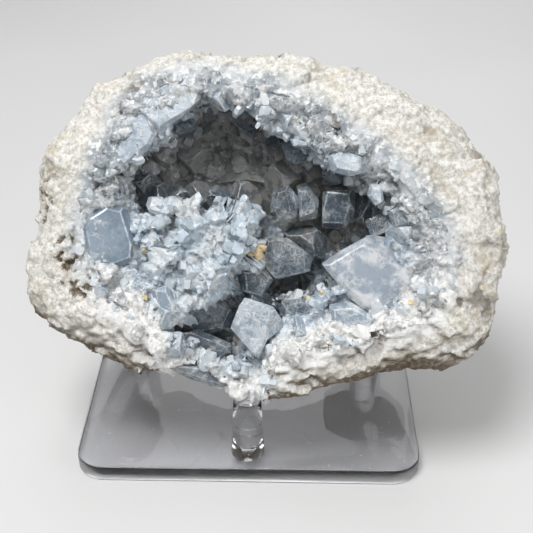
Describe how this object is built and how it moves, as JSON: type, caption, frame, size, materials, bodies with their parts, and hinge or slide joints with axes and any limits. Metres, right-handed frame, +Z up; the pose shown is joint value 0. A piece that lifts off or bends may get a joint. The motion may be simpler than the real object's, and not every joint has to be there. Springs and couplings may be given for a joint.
{
  "type": "celestite geode",
  "caption": "Broken-open nodule of pale rock lined with blue celestite crystals, resting on a clear acrylic stand with tapered pegs.",
  "frame": {"origin": "middle of the stand plate's underside, on the surface that it stands on", "axes": "+Z up, +X to the right of the broken face, -Y towards the viewer of the broken face"},
  "size_m": [0.1745, 0.1035, 0.1458],
  "materials": {
    "rock": "rough pale sedimentary rock with brown dirt in its pits",
    "celestite": "glassy pale blue crystal, clear to milky",
    "acrylic": "polished clear acrylic"
  },
  "bodies": {
    "root": {"geode_rock": "rock", "crystal_crust": "celestite", "stand_plate": "acrylic", "peg_front": "acrylic", "peg_back_left": "acrylic", "peg_back_right": "acrylic"}
  },
  "joints": []
}
